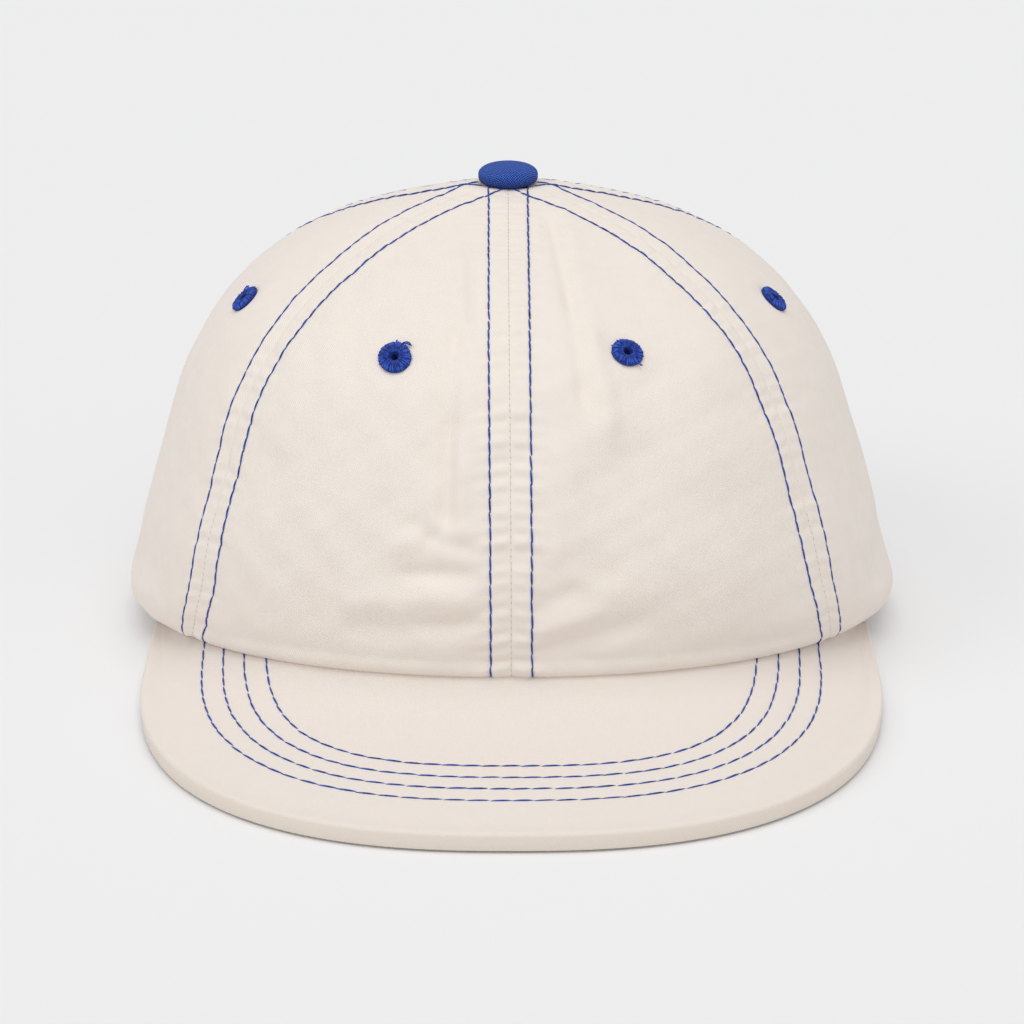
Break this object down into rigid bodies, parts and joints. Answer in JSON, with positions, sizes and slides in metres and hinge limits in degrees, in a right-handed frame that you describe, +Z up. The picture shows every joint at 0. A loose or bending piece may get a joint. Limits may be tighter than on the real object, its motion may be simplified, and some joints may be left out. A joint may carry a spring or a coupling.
{
  "type": "six-panel cap",
  "caption": "Soft round cloth cap with stitched panels, thread eyelets, a cloth-covered top button and a wide flat stitched visor.",
  "frame": {"origin": "under the middle of the cap's outline, on the surface it rests on", "axes": "+Z up, the visor points to -Y, +X to the right as seen from the front"},
  "size_m": [0.1996, 0.2554, 0.1194],
  "materials": {
    "cotton": "matt off-white cotton twill, light natural creases",
    "band": "matt off-white cotton band",
    "button_cloth": "matt royal blue plain weave",
    "thread": "royal blue thread with a soft sheen"
  },
  "bodies": {
    "root": {"panel_front_left": "cotton", "panel_front_right": "cotton", "panel_side_left": "cotton", "panel_side_right": "cotton", "panel_back_left": "cotton", "panel_back_right": "cotton", "visor_top": "cotton", "visor_under": "cotton", "sweatband": "band", "top_button": "button_cloth", "eyelet_front_left": "thread", "eyelet_front_right": "thread", "eyelet_side_left": "thread", "eyelet_side_right": "thread", "eyelet_back_left": "thread", "eyelet_back_right": "thread"}
  },
  "joints": []
}
